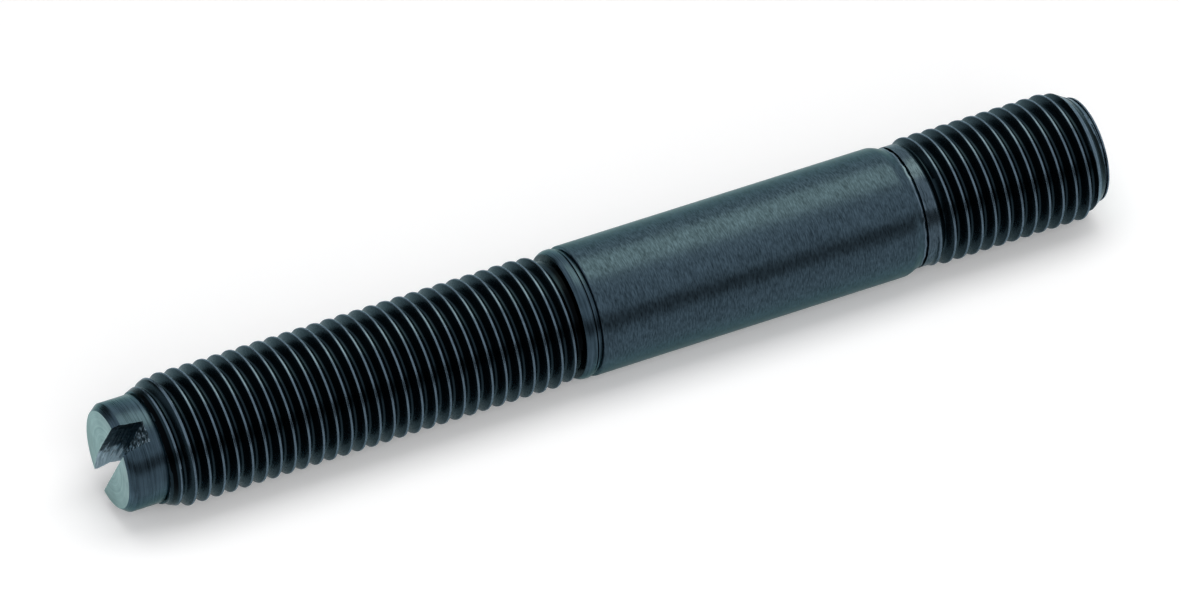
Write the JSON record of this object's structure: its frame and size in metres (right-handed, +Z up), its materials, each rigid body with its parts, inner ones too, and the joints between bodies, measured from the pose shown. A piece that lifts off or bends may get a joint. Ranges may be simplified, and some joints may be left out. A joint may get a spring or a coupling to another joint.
{
  "type": "double-ended stud",
  "caption": "Slender steel stud with a thread on each end, a plain shank between them and a slotted pilot on the longer end, for clamping parts with a nut.",
  "frame": {"origin": "centre of the end face of the short thread, on the stud's axis", "axes": "+Z up along the axis to the slotted pilot, +Y along the screwdriver slot"},
  "size_m": [0.022, 0.022, 0.1767],
  "materials": {
    "blackened_steel": "black oxide over turned steel, oiled satin"
  },
  "bodies": {
    "root": {"stud": "blackened_steel"}
  },
  "joints": []
}
